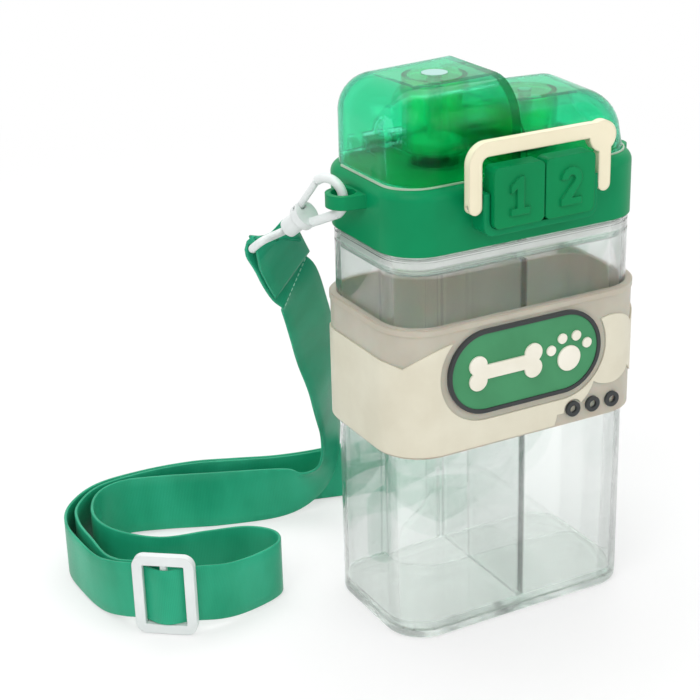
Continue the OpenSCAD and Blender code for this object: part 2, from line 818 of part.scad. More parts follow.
module hook() {
    color("#F4F5F3") difference() {
        union() {
            rotate([90, 0, 0]) rotate_extrude(angle = 180, $fn = FINE)
                translate([loop_r, 0]) circle(r = wire_r, $fn = FINE);
            rod([loop_r, 0, 0], [neck_x, 0, neck_z], wire_r);
            translate([0, 0, -16]) cylinder(h = 3.6, r = 5.2, $fn = FINE);
            translate([0, 0, barrel_low]) cylinder(h = 8.5, r = barrel_r, $fn = FINE);
        }
        translate([0, 0, barrel_low - CUT]) cylinder(h = 5, r = stem_r + 0.05, $fn = FINE);
        translate([0, 0, barrel_low + 3]) cylinder(h = 4, r = stem_head_r + 0.2, $fn = FINE);
        translate([-7, -1.45, gate_z - 1.6]) cube([5, 2.9, 5]);
        translate([gate_x, 4, gate_z]) rotate([90, 0, 0]) cylinder(h = 8, r = 0.75, $fn = FINE);
    }
}

// Sprung tongue that closes a hook's loop
module gate() {
    color("#F4F5F3") {
        translate([gate_x, 1.35, gate_z]) rotate([90, 0, 0]) cylinder(h = 2.7, r = 1.4, $fn = FINE);
        translate([gate_x, 2.6, gate_z]) rotate([90, 0, 0]) cylinder(h = 5.2, r = 0.7, $fn = FINE);
        rod([gate_x, 0, gate_z], [0.1 - loop_r, 0, -0.9], 1.3);
    }
}

// Ring for the webbing, with the stem that turns in the hook's barrel
module strap_ring_piece() {
    bend = 3;
    color("#F4F5F3") {
        translate([0, 0, (ring_near + ring_far) / 2]) rotate([90, 0, 90])
            swept_round(2 * ring_half, ring_near - ring_far, bend)
                translate([bend, 0]) circle(r = ring_bar_r, $fn = FINE);
        translate([0, 0, ring_near]) cylinder(h = 6, r = stem_r, $fn = FINE);
        translate([0, 0, barrel_low + 3.2]) cylinder(h = 3.5, r = stem_head_r, $fn = FINE);
    }
}

module strap_slider() {
    bend = 2.5;
    color("#F4F5F3") translate(slider_at) rotate([0, 0, slider_turn]) rotate([90, 0, 0]) {
        swept_round(slider_w - slider_bar, slider_h - slider_bar, bend)
            translate([bend - slider_bar / 2, -slider_t / 2]) square([slider_bar, slider_t]);
        cube([2.4, slider_h - 2 * slider_bar + 1, 2.2], center = true);
    }
}

module strap_long() {
    color("#2FA37A") webbing(concat(tail_route, hanging_route, floor_route, doubled_route, wrap_route));
}

// The second layer of the doubled part, set back from the first
function layered(route) =
    let(path = [for (s = route) s[0]])
    [for (i = [len(route) - 1:-1:0])
        [path[i] + strap_normal(route, path, i) * route[i][2], -route[i][1]]];

module strap_return() {
    color("#2FA37A") webbing(concat(
        [for (s = return_top) [s[0], -s[1]]], layered(doubled_route),
        [for (s = return_end) [s[0], -s[1]]]));
}

tank_base();
tank_shell();
sleeve_band();
sleeve_panels();
badge_plaque();
badge_outline();
badge_motif();
sleeve_dots();
lid_collar();
lid_insert();
lid_gasket();
divider_seal();
hinge_pin(-1);  // left_hinge_pin
hinge_pin(1);  // right_hinge_pin
dome_spring(-1);  // left_dome_spring
dome_spring(1);  // right_dome_spring
button_spring(-1);  // left_button_spring
button_spring(1);  // right_button_spring
bail_pins();
dome(-1, left_dome_h);  // left_dome
dome(1, right_dome_h);  // right_dome
plug(-1, left_dome_h);  // left_plug
plug(1, right_dome_h);  // right_plug
left_button();
right_button();
bail();
on_hook(-1) hook();  // left_hook
on_hook(1) hook();  // right_hook
on_hook(-1) gate();  // left_gate
on_hook(1) gate();  // right_gate
on_hook(-1) strap_ring_piece();  // left_strap_ring
on_hook(1) strap_ring_piece();  // right_strap_ring
strap_slider();
strap_long();
strap_return();
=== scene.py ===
"""Two-compartment travel water bottle for a dog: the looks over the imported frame."""

import math

import bmesh
import bpy
from mathutils import Matrix, Vector


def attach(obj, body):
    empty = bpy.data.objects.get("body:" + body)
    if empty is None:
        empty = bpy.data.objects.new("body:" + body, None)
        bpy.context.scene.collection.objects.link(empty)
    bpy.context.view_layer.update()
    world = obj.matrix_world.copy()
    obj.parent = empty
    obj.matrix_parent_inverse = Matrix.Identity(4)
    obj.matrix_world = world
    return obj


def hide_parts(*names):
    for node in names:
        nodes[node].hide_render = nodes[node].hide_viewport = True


MM = 0.001

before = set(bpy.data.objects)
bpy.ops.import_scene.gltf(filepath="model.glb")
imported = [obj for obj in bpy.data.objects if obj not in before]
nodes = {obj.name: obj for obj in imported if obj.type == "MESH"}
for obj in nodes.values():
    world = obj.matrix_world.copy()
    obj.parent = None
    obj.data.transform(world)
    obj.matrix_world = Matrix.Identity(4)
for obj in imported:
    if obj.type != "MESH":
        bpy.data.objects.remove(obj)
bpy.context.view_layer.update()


# ---------------------------------------------------------------- camera

CAMERA_AT = Vector((-329.9, -519.7, 356.7)) * MM
CAMERA_AZIMUTH = math.radians(-27.678)
CAMERA_ELEVATION = math.radians(22.535)
CAMERA_ROLL = math.radians(-1.607)
CAMERA_LENS = 88.1


def add_camera():
    data = bpy.data.cameras.new("photo_camera")
    data.lens = CAMERA_LENS
    data.sensor_width = 36
    data.clip_start = 0.01
    data.clip_end = 20
    camera = bpy.data.objects.new("photo_camera", data)
    bpy.context.scene.collection.objects.link(camera)
    tilt = Matrix.Rotation(math.pi / 2 - CAMERA_ELEVATION, 4, "X")
    turn = Matrix.Rotation(CAMERA_AZIMUTH, 4, "Z")
    roll = Matrix.Rotation(CAMERA_ROLL, 4, "Z")
    camera.matrix_world = Matrix.Translation(CAMERA_AT) @ turn @ tilt @ roll
    bpy.context.scene.camera = camera


add_camera()


# ---------------------------------------------------------------- node helpers

def new_material(name):
    """An empty node material with its output, and a maker of linked nodes."""
    material = bpy.data.materials.new(name)
    material.use_nodes = True
    tree = material.node_tree
    tree.nodes.clear()
    output = tree.nodes.new("ShaderNodeOutputMaterial")
    return material, tree, output


def add_node(tree, kind, **values):
    """A node whose keyword values go to its properties, or to its sockets by their names."""
    node = tree.nodes.new(kind)
    for key, value in values.items():
        if hasattr(node, key):
            setattr(node, key, value)
        else:
            node.inputs[key.replace("_", " ")].default_value = value
    return node


def srgb(code, alpha=1.0):
    """A colour written as a hex code, as the linear value that a shader takes."""
    parts = [int(code[i:i + 2], 16) / 255 for i in (1, 3, 5)]
    linear = [p / 12.92 if p <= 0.04045 else ((p + 0.055) / 1.055) ** 2.4 for p in parts]
    return (*linear, alpha)


def shader(tree, output, colour, roughness, **more):
    body = tree.nodes.new("ShaderNodeBsdfPrincipled")
    body.inputs["Base Color"].default_value = colour
    body.inputs["Roughness"].default_value = roughness
    for key, value in more.items():
        body.inputs[key.replace("_", " ")].default_value = value
    tree.links.new(body.outputs["BSDF"], output.inputs["Surface"])
    return body


def link(tree, source, socket, target, name):
    tree.links.new(source.outputs[socket], target.inputs[name])


def object_coordinates(tree, scale=(1, 1, 1)):
    place = add_node(tree, "ShaderNodeTexCoord")
    mapping = add_node(tree, "ShaderNodeMapping")
    mapping.inputs["Scale"].default_value = scale
    link(tree, place, "Object", mapping, "Vector")
    return mapping


def colour_between(tree, factor, socket, dark, light, low=0.35, high=0.65):
    """A ramp from dark to light over part of a factor's range."""
    ramp = tree.nodes.new("ShaderNodeValToRGB")
    ramp.color_ramp.elements[0].position = low
    ramp.color_ramp.elements[0].color = dark
    ramp.color_ramp.elements[1].position = high
    ramp.color_ramp.elements[1].color = light
    link(tree, factor, socket, ramp, "Fac")
    return ramp


def value_between(tree, factor, socket, low, high):
    """A number that runs from low to high with a factor."""
    span = tree.nodes.new("ShaderNodeMapRange")
    span.inputs["To Min"].default_value = low
    span.inputs["To Max"].default_value = high
    link(tree, factor, socket, span, "Value")
    return span


# ---------------------------------------------------------------- materials

def rounded_edges(tree, bump, radius):
    """Gives a material's normal softly rounded edges, of a radius in millimetres."""
    edges = add_node(tree, "ShaderNodeBevel", samples=6, Radius=radius * MM)
    link(tree, edges, "Normal", bump, "Normal")


def moulded_plastic(name, colour, shade, roughness, edge=0.5, grain=0.02, shine=0.5):
    """Satin moulded plastic: a slight drift in colour and gloss, soft edges and a fine skin."""
    material, tree, output = new_material(name)
    body = shader(tree, output, colour, roughness, Specular_IOR_Level=shine)
    place = object_coordinates(tree)
    drift = add_node(tree, "ShaderNodeTexNoise", Scale=38.0, Detail=3.0)
    link(tree, place, "Vector", drift, "Vector")
    tint = colour_between(tree, drift, "Fac", shade, colour)
    link(tree, tint, "Color", body, "Base Color")
    gloss = value_between(tree, drift, "Fac", roughness - 0.05, roughness + 0.05)
    link(tree, gloss, "Result", body, "Roughness")
    skin = add_node(tree, "ShaderNodeTexNoise", Scale=2600.0, Detail=2.0)
    link(tree, place, "Vector", skin, "Vector")
    bump = add_node(tree, "ShaderNodeBump", Strength=grain, Distance=0.0002)
    link(tree, skin, "Fac", bump, "Height")
    rounded_edges(tree, bump, edge)
    link(tree, bump, "Normal", body, "Normal")
    return material


def clear_plastic(name, tint, roughness, ior, coat=0.6, least_skin=0.5, wave=0.005):
    """Thin clear plastic: some of the light goes straight through its walls and takes on their
    tint, and the rest meets a polished skin, which shows most where the wall is seen edge on."""
    material, tree, output = new_material(name)
    body = shader(tree, output, tint, roughness, IOR=ior, Transmission_Weight=1.0,
                  Coat_Weight=coat, Coat_Roughness=0.02)
    place = object_coordinates(tree)
    flow = add_node(tree, "ShaderNodeTexNoise", Scale=55.0, Detail=2.0)
    link(tree, place, "Vector", flow, "Vector")
    haze = value_between(tree, flow, "Fac", roughness * 0.5, roughness * 1.5)
    link(tree, haze, "Result", body, "Roughness")
    bump = add_node(tree, "ShaderNodeBump", Strength=wave, Distance=0.002)
    link(tree, flow, "Fac", bump, "Height")
    link(tree, bump, "Normal", body, "Normal")
    link(tree, bump, "Normal", body, "Coat Normal")
    straight = add_node(tree, "ShaderNodeBsdfTransparent")
    straight.inputs["Color"].default_value = [value ** 0.5 for value in tint[:3]] + [1]
    edge_on = add_node(tree, "ShaderNodeLayerWeight", Blend=0.5)
    skin = value_between(tree, edge_on, "Facing", least_skin, 1.0)
    mix = tree.nodes.new("ShaderNodeMixShader")
    tree.links.new(skin.outputs["Result"], mix.inputs[0])
    tree.links.new(straight.outputs[0], mix.inputs[1])
    tree.links.new(body.outputs[0], mix.inputs[2])
    tree.links.new(mix.outputs[0], output.inputs["Surface"])
    return material


def rubber(name, colour, shade, roughness=0.62, edge=0.35, grain=0.12, glow=0.0):
    """Matte silicone rubber with a soft bloom and a fine cast skin."""
    material, tree, output = new_material(name)
    body = shader(tree, output, colour, roughness, Sheen_Weight=0.15, Sheen_Roughness=0.5,
                  Subsurface_Weight=glow, Subsurface_Scale=0.005)
    place = object_coordinates(tree)
    bloom = add_node(tree, "ShaderNodeTexNoise", Scale=60.0, Detail=4.0)
    link(tree, place, "Vector", bloom, "Vector")
    tint = colour_between(tree, bloom, "Fac", shade, colour)
    link(tree, tint, "Color", body, "Base Color")
    skin = add_node(tree, "ShaderNodeTexNoise", Scale=3800.0, Detail=2.0)
    link(tree, place, "Vector", skin, "Vector")
    bump = add_node(tree, "ShaderNodeBump", Strength=grain, Distance=0.0001)
    link(tree, skin, "Fac", bump, "Height")
    rounded_edges(tree, bump, edge)
    link(tree, bump, "Normal", body, "Normal")
    return material


def drawn_steel(name):
    material, tree, output = new_material(name)
    body = shader(tree, output, srgb("#C6CACD"), 0.28, Metallic=1.0)
    place = object_coordinates(tree, (1, 30, 30))
    lines = add_node(tree, "ShaderNodeTexNoise", Scale=90.0, Detail=3.0)
    link(tree, place, "Vector", lines, "Vector")
    gloss = value_between(tree, lines, "Fac", 0.2, 0.42)
    link(tree, gloss, "Result", body, "Roughness")
    return material


def webbing_material():
    """Satin webbing: fine ribs along the strip, crossing threads with painted shade in the gaps
    between them, and a silky sheen.
    """
    material, tree, output = new_material("satin_webbing")
    body = shader(tree, output, srgb("#2FA37A"), 0.36, Specular_IOR_Level=0.25,
                  Sheen_Weight=0.03, Sheen_Roughness=0.35)
    strip = add_node(tree, "ShaderNodeAttribute", attribute_name="strip")
    fine = add_node(tree, "ShaderNodeMapping")
    fine.inputs["Scale"].default_value = (1400, 2400, 1)
    link(tree, strip, "Vector", fine, "Vector")
    threads = add_node(tree, "ShaderNodeTexWave", wave_type="BANDS", bands_direction="Y",
                       Scale=0.35, Distortion=0.6, Detail=1.0)
    link(tree, fine, "Vector", threads, "Vector")
    crossing = add_node(tree, "ShaderNodeTexWave", wave_type="BANDS", bands_direction="X",
                        Scale=0.35, Distortion=0.8, Detail=1.0)
    link(tree, fine, "Vector", crossing, "Vector")
    weave = add_node(tree, "ShaderNodeMath", operation="MULTIPLY")
    tree.links.new(threads.outputs["Fac"], weave.inputs[0])
    tree.links.new(crossing.outputs["Fac"], weave.inputs[1])
    long_place = add_node(tree, "ShaderNodeMapping")
    long_place.inputs["Scale"].default_value = (45, 20, 1)
    link(tree, strip, "Vector", long_place, "Vector")
    streaks = add_node(tree, "ShaderNodeTexNoise", Scale=1.0, Detail=3.0)
    link(tree, long_place, "Vector", streaks, "Vector")
    tint = colour_between(tree, streaks, "Fac", srgb("#12976F"), srgb("#2FB48B"), 0.3, 0.7)
    grain_place = add_node(tree, "ShaderNodeMapping")
    grain_place.inputs["Scale"].default_value = (900, 2600, 1)
    link(tree, strip, "Vector", grain_place, "Vector")
    grain = add_node(tree, "ShaderNodeTexNoise", Scale=1.0, Detail=2.0)
    link(tree, grain_place, "Vector", grain, "Vector")
    gloss = value_between(tree, grain, "Fac", 0.2, 0.5)
    link(tree, gloss, "Result", body, "Roughness")
    # painted shade: the colour is darkened by up to 14% in the gaps between the woven threads, where
    # shade falls
    painted_gap_shade = tree.nodes.new("ShaderNodeMix")
    painted_gap_shade.data_type = "RGBA"
    painted_gap_shade.blend_type = "MULTIPLY"
    shade = colour_between(tree, weave, "Value", (0.86, 0.86, 0.86, 1), (1, 1, 1, 1), 0.0, 0.6)
    painted_gap_shade.inputs["Factor"].default_value = 1.0
    tree.links.new(tint.outputs["Color"], painted_gap_shade.inputs["A"])
    tree.links.new(shade.outputs["Color"], painted_gap_shade.inputs["B"])
    tree.links.new(painted_gap_shade.outputs["Result"], body.inputs["Base Color"])
    bump = add_node(tree, "ShaderNodeBump", Strength=0.35, Distance=0.0001)
    link(tree, weave, "Value", bump, "Height")
    link(tree, bump, "Normal", body, "Normal")
    return material


def sleeve_rubber():
    """The sleeve's rubber, with its inner face, where it lies on the clear tank, painted a pale
    green-white: painted light that stands in for the light reaching that face through the tank and
    the rubber.
    """
    material = rubber("sleeve_taupe", srgb("#BDB8A9"), srgb("#B5AF9F"), glow=0.3)
    tree = material.node_tree
    body = tree.nodes["Principled BSDF"]
    outside = body.inputs["Base Color"].links[0].from_socket
    place = tree.nodes.new("ShaderNodeTexCoord")
    facing = add_node(tree, "ShaderNodeVectorMath", operation="DOT_PRODUCT")
    tree.links.new(place.outputs["Object"], facing.inputs[0])
    tree.links.new(place.outputs["Normal"], facing.inputs[1])
    inner = add_node(tree, "ShaderNodeMath", operation="LESS_THAN")
    tree.links.new(facing.outputs["Value"], inner.inputs[0])
    inner.inputs[1].default_value = 0.0
    # painted light: faces turned towards the middle get a pale colour brighter than the rubber's
    # own, standing in for light through the clear tank
    painted_light_inner_face = tree.nodes.new("ShaderNodeMix")
    painted_light_inner_face.data_type = "RGBA"
    tree.links.new(inner.outputs[0], painted_light_inner_face.inputs["Factor"])
    tree.links.new(outside, painted_light_inner_face.inputs["A"])
    painted_light_inner_face.inputs["B"].default_value = srgb("#EEF4DE")
    tree.links.new(painted_light_inner_face.outputs["Result"], body.inputs["Base Color"])
    return material


CLEAR_TANK = clear_plastic("clear_tank", srgb("#FCFEFD"), 0.003, 1.33)
CLEAR_BASE = clear_plastic("clear_base", srgb("#F1F9F4"), 0.004, 1.4)
CLEAR_INSERT = clear_plastic("frosted_insert", srgb("#E4F5EC"), 0.12, 1.3)
COVER_GREEN = clear_plastic("tinted_cover", srgb("#72F0C8"), 0.002, 1.2, coat=0.2,
                            least_skin=0.3, wave=0.002)
LID_GREEN = moulded_plastic("lid_green", srgb("#058C58"), srgb("#058452"), 0.4, edge=0.6, shine=0.12)
BUTTON_GREEN = moulded_plastic("button_green", srgb("#02874F"), srgb("#02804A"), 0.32, edge=0.7,
                               shine=0.12)
CREAM = moulded_plastic("bail_cream", srgb("#F0E7CA"), srgb("#EBE1C2"), 0.4, edge=1.1)
WHITE = moulded_plastic("hook_white", srgb("#E4E8E7"), srgb("#DDE2E1"), 0.36)
PLUG = moulded_plastic("plug_milk", srgb("#A8D2CB"), srgb("#9CC8C0"), 0.35)
SEAL = rubber("seal_rubber", srgb("#F2F4F1"), srgb("#E6E9E5"), 0.5)
SLEEVE = sleeve_rubber()
PANEL = rubber("panel_cream", srgb("#DDD8C4"), srgb("#D6D0BB"))
BADGE = rubber("badge_green", srgb("#368C5A"), srgb("#2F8352"))
DARK = rubber("badge_dark", srgb("#262B2C"), srgb("#1F2425"))
MOTIF = rubber("badge_cream", srgb("#EFEBDD"), srgb("#E6E1D0"))
STEEL = drawn_steel("drawn_steel")
WEBBING = webbing_material()


# ---------------------------------------------------------------- the strap

# Stations of the webbing in millimetres: a point of its middle line and the way its width lies
UP = (0, 0, 1)
LEFT_W = (-0.90, -0.43, 0)
RIGHT_W = (0.98, -0.17, 0)
TAIL_ROUTE = [
    ((-62.5, 36, 133), LEFT_W),
    ((-68.5, 31.4, 143), LEFT_W),
    ((-71.9, 28.7, 149.8), LEFT_W),
    ((-72.2, 29.3, 151.6), LEFT_W),
    ((-72.9, 30.9, 152.4), LEFT_W),
    ((-73.7, 32.5, 151.6), LEFT_W),
    ((-74, 33.2, 149.8), LEFT_W)]
HANGING_ROUTE = [
    ((-70, 34.6, 142.5), LEFT_W),
    ((-63.5, 38, 132), (-0.90, -0.42, -0.12)),
    ((-58, 40, 125), (-0.90, -0.42, -0.12)),
    ((-50, 48, 107), (-0.90, -0.42, -0.12)),
    ((-42, 58, 89), (-0.88, -0.46, -0.10)),
    ((-35.5, 65, 72), (-0.82, -0.56, -0.10)),
    ((-29.7, 74, 54), (-0.72, -0.69, -0.08)),
    ((-27.2, 77.4, 41), (-0.72, -0.70, -0.04)),
    ((-27, 78, 32), (-0.68, -0.72, 0.13)),
    ((-27.8, 80, 26), (-0.60, -0.69, 0.39)),
    ((-31, 82, 20), (-0.40, -0.51, 0.75)),
    ((-35, 85.5, 13.5), (-0.25, -0.28, 0.93))]
FLOOR_ROUTE = [
    ((-42, 86, 12.5), UP),
    ((-55, 89.3, 12.5), (0.04, 0.12, 0.99)),
    ((-75, 97, 12.5), (0.08, 0.22, 0.97)),
    ((-96, 106, 12.5), (0.08, 0.22, 0.97)),
    ((-112, 110.5, 12.5), (0.03, 0.20, 0.98)),
    ((-125, 106, 12.5), UP),
    ((-132.5, 90, 12.5), UP),
    ((-130, 73, 12.5), UP),
    ((-116.5, 57, 12.5), UP),
    ((-98, 52, 12.5), UP),
    ((-82, 47, 12.5), UP),
    ((-74.3, 38, 12.5), UP),
    ((-77, 29, 12.5), UP),
    ((-90, 24, 12.5), UP),
    ((-104, 20.5, 14.3), UP),
    ((-117.8, 21.4, 16.7), UP),
    ((-128.6, 24, 16.7), UP),
    ((-134.2, 33.6, 16.7), UP)]
# The doubled part: the third value is how far the second layer lies behind the first
DOUBLED_ROUTE = [
    ((-140.2, 43.6, 14.6), UP, 2),
    ((-143.8, 55, 12.5), UP, 3.5),
    ((-145.5, 70, 12.5), UP, 5),
    ((-145, 88, 12.5), UP, 5),
    ((-138, 103, 12.5), UP, 3.5),
    ((-122, 115, 12.5), UP, 2.2),
    ((-100, 117, 12.5), UP, 1.8),
    ((-78, 114, 12.5), UP, 1.8),
    ((-60, 107, 12.5), UP, 1.8),
    ((-43, 100, 12.5), UP, 1.8),
    ((-24, 96, 12.5), UP, 1.8),
    ((-6, 93, 12.2), (0.10, 0.30, 0.95), 1.8),
    ((10, 88, 12), (0.35, 0.70, 0.62), 1.8),
    ((22, 80, 15), (0.55, 0.80, 0.25), 1.8),
    ((33, 71, 22), (0.65, 0.75, 0.05), 1.8),
    ((43, 63, 37), (0.75, 0.65, 0), 1.8),
    ((50, 56, 62), (0.85, 0.50, 0), 1.8),
    ((55, 49, 90), (0.95, 0.30, 0), 1.8),
    ((58, 43, 118), (1, 0, 0), 1.8),
    ((62, 37.5, 138), (1, -0.10, 0), 1.8),
    ((63.8, 34.4, 148.5), (1, -0.17, 0), 4)]
WRAP_ROUTE = [
    ((64.2, 33.8, 153.5), RIGHT_W),
    ((64.6, 36.1, 155.8), RIGHT_W)]
RETURN_TOP = [
    ((64.6, 36.1, 155.8), RIGHT_W),
    ((65, 38.4, 153.5), RIGHT_W)]
RETURN_END = [
    ((-133.5, 35.8, 16.7), UP),
    ((-126.3, 27.1, 16.7), UP)]
STRAP_WIDTH = 24 * MM
STRAP_THICKNESS = 1.2 * MM
STEPS_PER_STATION = 7


def tangent(points, i):
    return (points[min(i + 1, len(points) - 1)] - points[max(i - 1, 0)]).normalized()


def smooth_route(stations, steps=STEPS_PER_STATION):
    """A smooth curve through the stations: points in metres and width directions."""
    rows = [(Vector(s[0]) * MM, Vector(s[1])) for s in stations]
    points, widths = [], []
    for i in range(len(rows) - 1):
        a, b = rows[max(i - 1, 0)], rows[i]
        c, d = rows[i + 1], rows[min(i + 2, len(rows) - 1)]
        for k in range(steps):
            t = k / steps
            for kind, made in ((0, points), (1, widths)):
                p, q, r, s = a[kind], b[kind], c[kind], d[kind]
                made.append(0.5 * (2 * q + (r - p) * t + (2 * p - 5 * q + 4 * r - s) * t * t
                                   + (3 * q - p - 3 * r + s) * t ** 3))
    points.append(rows[-1][0].copy())
    widths.append(rows[-1][1].copy())
    return points, widths


def strap_normal(points, widths, i):
    return tangent(points, i).cross(widths[i]).normalized()


def second_layer(stations):
    """The doubled part's second layer: the same stations from the far end, set back."""
    points = [Vector(s[0]) for s in stations]
    widths = [Vector(s[1]) for s in stations]
    rows = [(points[i] + strap_normal(points, widths, i) * s[2], -widths[i])
            for i, s in enumerate(stations)]
    return rows[::-1]


def section_frame(points, widths, i):
    """The matrix that carries the webbing's section from the origin to point i."""
    along = tangent(points, i)
    normal = along.cross(widths[i]).normalized()
    across = normal.cross(along)
    place = Matrix((across, normal, along)).transposed().to_4x4()
    place.translation = points[i]
    return place


def section_outline():
    """Corners of the webbing's section: flat, with rounded selvedges."""
    half, thick = STRAP_WIDTH / 2, STRAP_THICKNESS / 2
    side = [(half - thick * 0.8, thick), (half - thick * 0.25, thick * 0.72), (half, 0.0),
            (half - thick * 0.25, -thick * 0.72), (half - thick * 0.8, -thick)]
    flat = [(half * f, -thick) for f in (0.6, 0.2, -0.2, -0.6)]
    return side + flat + [(-x, -y) for x, y in side] + [(-x, -y) for x, y in flat]


def ease_corner(rings, first, last, rounds):
    """Evens the run of each thread from ring to ring, so that a corner bent in the plane of the
    strip doesn't double back along its inner edge."""
    for _ in range(rounds):
        eased = {}
        for i in range(max(first, 1), min(last, len(rings) - 1)):
            for k, v in enumerate(rings[i]):
                beside = rings[i - 1][k].co + rings[i + 1][k].co
                eased[v] = v.co * 0.5 + beside * 0.25
        for v, place in eased.items():
            v.co = place


def make_webbing(name, stations, bend=None):
    """A strip swept through the stations by extruding its section from ring to ring."""
    points, widths = smooth_route(stations)
    outline = section_outline()
    bm = bmesh.new()
    strip = bm.verts.layers.float_vector.new("strip")
    first = section_frame(points, widths, 0)
    ring = [bm.verts.new(first @ Vector((x, y, 0))) for x, y in outline]
    bm.faces.new(ring).normal_flip()
    edges = [bm.edges.get((ring[k - 1], ring[k])) for k in range(len(ring))]
    for v, corner in zip(ring, outline):
        v[strip] = (0, corner[0], corner[1])
    run = 0.0
    rings = [ring]
    for i in range(1, len(points)):
        run += (points[i] - points[i - 1]).length
        made = bmesh.ops.extrude_edge_only(bm, edges=edges)["geom"]
        moved = [g for g in made if isinstance(g, bmesh.types.BMVert)]
        rings.append([next(e.other_vert(v) for e in v.link_edges if e.other_vert(v) in moved)
                      for v in rings[-1]])
        step = section_frame(points, widths, i) @ section_frame(points, widths, i - 1).inverted()
        bmesh.ops.transform(bm, matrix=step, verts=moved)
        for v in moved:
            v[strip] = (run, v[strip][1], v[strip][2])
        edges = [g for g in made if isinstance(g, bmesh.types.BMEdge)
                 and g.verts[0] in moved and g.verts[1] in moved]
    if bend:
        ease_corner(rings, bend[0] * STEPS_PER_STATION, bend[1] * STEPS_PER_STATION, 60)
    bmesh.ops.holes_fill(bm, edges=edges)
    bmesh.ops.recalc_face_normals(bm, faces=bm.faces)
    piece = finish_mesh(bm, name, WEBBING)
    return piece, points


def finish_mesh(bm, name, material, smooth=True):
    mesh = bpy.data.meshes.new(name)
    bm.to_mesh(mesh)
    bm.free()
    mesh.materials.append(material)
    for polygon in mesh.polygons:
        polygon.use_smooth = smooth
    piece = bpy.data.objects.new(name, mesh)
    bpy.context.scene.collection.objects.link(piece)
    return piece


def route_length(points):
    return sum((points[i] - points[i - 1]).length for i in range(1, len(points)))


def add_strap():
    long_stations = TAIL_ROUTE + HANGING_ROUTE + FLOOR_ROUTE + DOUBLED_ROUTE + WRAP_ROUTE
    before_floor = len(TAIL_ROUTE + HANGING_ROUTE)
    strap, path = make_webbing("webbing_long", long_stations, (before_floor - 5, before_floor + 2))
    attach(strap, "lid")
    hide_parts("strap_long")
    print("webbing_long", round(route_length(path), 4))

    top = [(s[0], [-w for w in s[1]]) for s in RETURN_TOP]
    end = [(s[0], [-w for w in s[1]]) for s in RETURN_END]
    second, path = make_webbing("webbing_return", top + second_layer(DOUBLED_ROUTE) + end)
    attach(second, "lid")
    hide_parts("strap_return")
    print("webbing_return", round(route_length(path), 4))


add_strap()


# ---------------------------------------------------------------- the moulded pieces

def smooth_curves(piece, angle=30):
    """Joins a moulding's loose triangles and smooths its curved faces, up to its sharp edges."""
    weld = piece.modifiers.new("weld", "WELD")
    weld.merge_threshold = 0.00001
    split = piece.modifiers.new("sharp_edges", "EDGE_SPLIT")
    split.split_angle = math.radians(angle)
    split.use_edge_sharp = False
    even = piece.modifiers.new("even_faces", "WEIGHTED_NORMAL")
    even.mode = "FACE_AREA"
    piece.data.polygons.foreach_set("use_smooth", [True] * len(piece.data.polygons))


def dress(material, *names):
    for name in names:
        mesh = nodes[name].data
        mesh.materials.clear()
        mesh.materials.append(material)
        smooth_curves(nodes[name])


dress(CLEAR_TANK, "tank_shell")
dress(CLEAR_BASE, "tank_base")
dress(CLEAR_INSERT, "lid_insert")
dress(COVER_GREEN, "left_dome", "right_dome")
dress(LID_GREEN, "lid_collar")
dress(BUTTON_GREEN, "left_button", "right_button")
dress(CREAM, "bail")
dress(WHITE, "left_hook", "right_hook", "left_gate", "right_gate", "left_strap_ring",
      "right_strap_ring", "strap_slider")
dress(PLUG, "left_plug", "right_plug")
dress(SEAL, "lid_gasket", "divider_seal")
dress(SLEEVE, "sleeve_band")
dress(PANEL, "sleeve_panels")
dress(BADGE, "badge_plaque")
dress(DARK, "badge_outline", "sleeve_dots")
dress(MOTIF, "badge_motif")
dress(STEEL, "left_hinge_pin", "right_hinge_pin", "left_dome_spring", "right_dome_spring",
      "left_button_spring", "right_button_spring", "bail_pins")


# ---------------------------------------------------------------- small visible pieces

COVER_EDGE = (51.2, -28.2, 29.0)
COVER_CORNER = 14
DECK_Z = 179.5
LINE_ENDS_AT = 15


def add_cover_line():
    """The pale lip that shows as a thin line where the covers meet the collar. It ends at the
    sides, so that the covers' back edges turn clear of it."""
    half, front, back = (value * MM for value in COVER_EDGE)
    bm = bmesh.new()
    bmesh.ops.create_grid(bm, x_segments=1, y_segments=1, size=1)
    bmesh.ops.scale(bm, vec=(half, (back - front) / 2, 1), verts=bm.verts)
    bmesh.ops.translate(bm, vec=(0, (back + front) / 2, (DECK_Z - 0.3) * MM), verts=bm.verts)
    bmesh.ops.bevel(bm, geom=bm.verts[:], offset=COVER_CORNER * MM, offset_type="OFFSET",
                    segments=14, profile=0.5, affect="VERTICES", material=-1)
    plate = bm.faces[:]
    bmesh.ops.inset_region(bm, faces=plate, thickness=0.6 * MM, use_boundary=True,
                           use_even_offset=True)
    bmesh.ops.delete(bm, geom=plate, context="FACES")
    bmesh.ops.bisect_plane(bm, geom=bm.verts[:] + bm.edges[:] + bm.faces[:], clear_outer=True,
                           plane_co=(0, LINE_ENDS_AT * MM, 0), plane_no=(0, 1, 0))
    rim = bmesh.ops.extrude_face_region(bm, geom=bm.faces[:])["geom"]
    lifted = [g for g in rim if isinstance(g, bmesh.types.BMVert)]
    bmesh.ops.translate(bm, vec=(0, 0, 0.85 * MM), verts=lifted)
    bmesh.ops.recalc_face_normals(bm, faces=bm.faces)
    line = finish_mesh(bm, "cover_line", LIP, smooth=False)
    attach(line, "lid")


